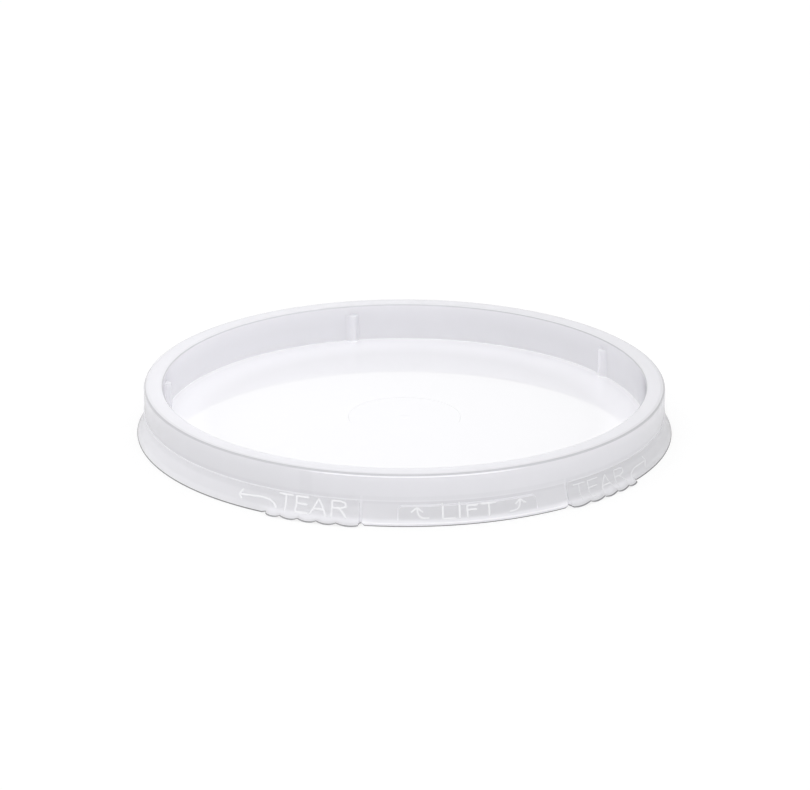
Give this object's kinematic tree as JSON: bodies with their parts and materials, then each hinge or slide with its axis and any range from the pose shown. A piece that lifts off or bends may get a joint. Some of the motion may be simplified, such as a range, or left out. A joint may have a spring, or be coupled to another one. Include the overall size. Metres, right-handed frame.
{
  "type": "pull-tab container lid",
  "caption": "Round press-on lid of milky clear plastic with a recessed panel, stacking ribs, a tear-off skirt strip and a lift tab.",
  "frame": {"origin": "On the lid's axis, at the level of the hem on which it stands.", "axes": "+Z is the lid's axis and points up, out of the recess; -Y points to the middle of the lift tab; +X is to the right as seen facing the tab."},
  "size_m": [0.12, 0.12, 0.011],
  "materials": {
    "natural_polypropylene": "gloss"
  },
  "bodies": {
    "root": {"lid": "natural_polypropylene"}
  },
  "joints": []
}
